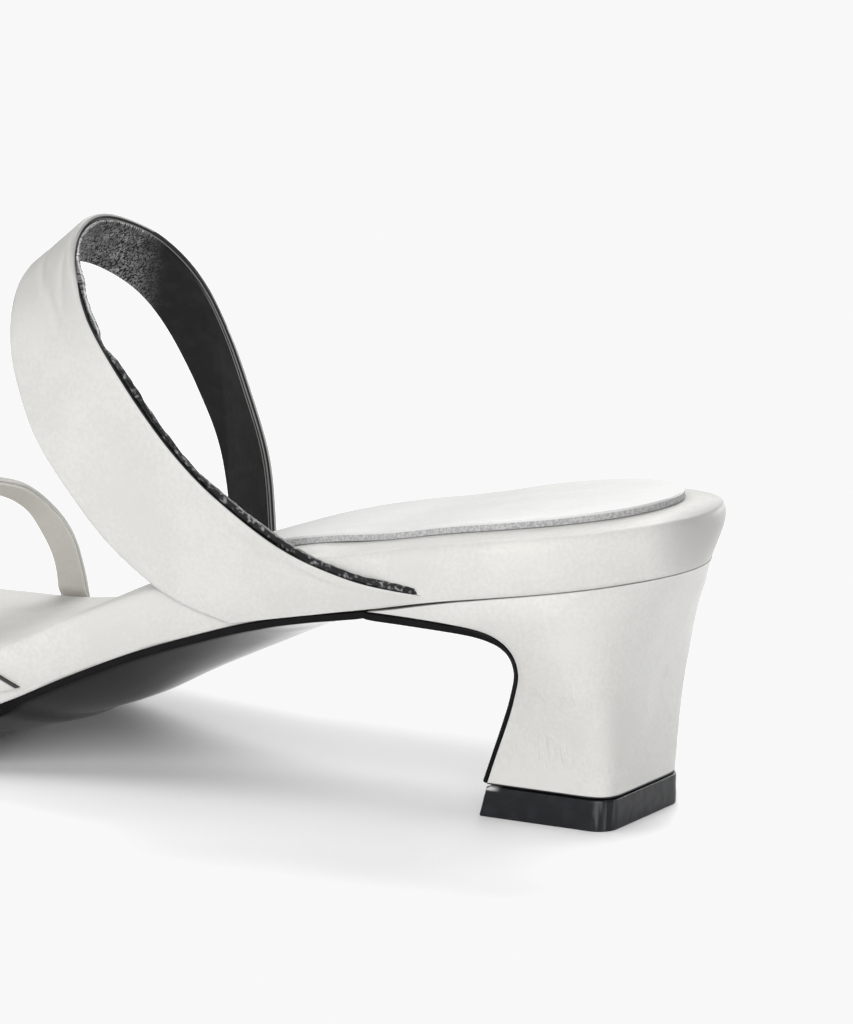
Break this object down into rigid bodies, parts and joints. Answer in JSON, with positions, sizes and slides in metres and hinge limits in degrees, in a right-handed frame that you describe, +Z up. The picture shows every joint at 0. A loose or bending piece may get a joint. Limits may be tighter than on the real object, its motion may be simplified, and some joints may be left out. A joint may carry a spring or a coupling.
{
  "type": "heeled sandal",
  "caption": "Open heeled slide sandal with a wrapped block heel, a shaped footbed with a padded sock, a wide asymmetric instep strap and a narrow toe strap.",
  "frame": {"origin": "centre of the heel tip's ground face", "axes": "+X towards the toe, +Y to the outer side of the left foot, +Z up from the ground"},
  "size_m": [0.2347, 0.0772, 0.0925],
  "materials": {
    "tip_rubber": "satin black rubber",
    "white_leather": "smooth off-white nappa, slightly crinkled",
    "sock_leather": "matt white leather with a grey cut edge",
    "sole_gloss": "glossy black leather sole, matt textured tread",
    "strap_leather": "smooth off-white leather with a lining"
  },
  "bodies": {
    "root": {"top_lift": "tip_rubber", "heel": "white_leather", "footbed": "white_leather", "sock_pad": "sock_leather", "outsole": "sole_gloss", "instep_strap": "strap_leather", "toe_strap": "strap_leather"}
  },
  "joints": []
}
